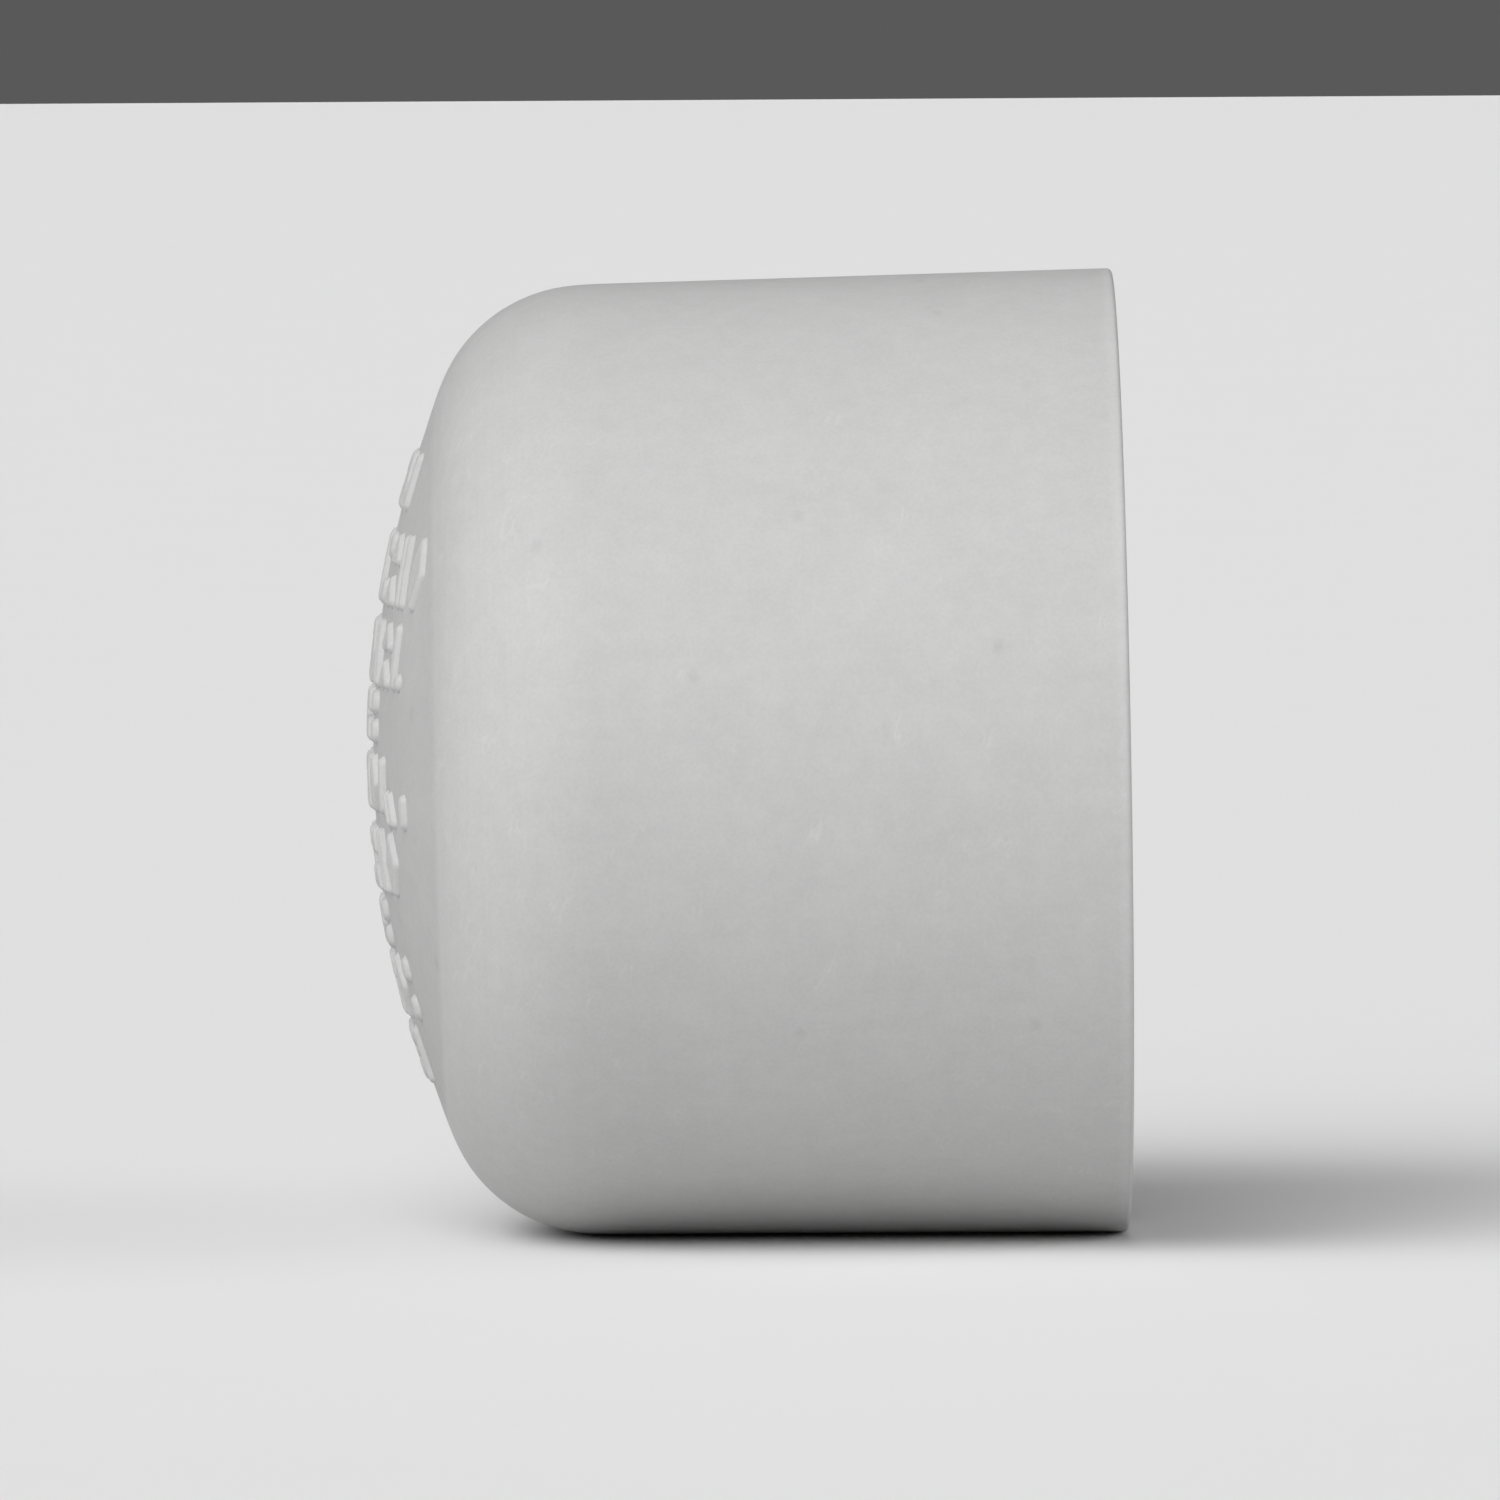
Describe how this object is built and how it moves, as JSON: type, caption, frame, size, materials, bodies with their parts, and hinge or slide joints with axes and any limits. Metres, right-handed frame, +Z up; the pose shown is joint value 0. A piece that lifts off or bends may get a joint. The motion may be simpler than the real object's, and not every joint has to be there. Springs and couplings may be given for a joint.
{
  "type": "pipe cap",
  "caption": "Slip-on plastic pipe cap: drafted round barrel with a plain cementing socket, rounded shoulder and a shallow domed end with raised marks.",
  "frame": {"origin": "middle of the open mouth, in the plane of the rim", "axes": "+X along the cap's axis out of the mouth, the domed end towards -X; +Z up as the cap lies on its side"},
  "size_m": [0.0444, 0.0568, 0.0568],
  "materials": {
    "pvc": "satin, fine moulded surface"
  },
  "bodies": {
    "root": {"cap_body": "pvc", "raised_marks": "pvc"}
  },
  "joints": []
}
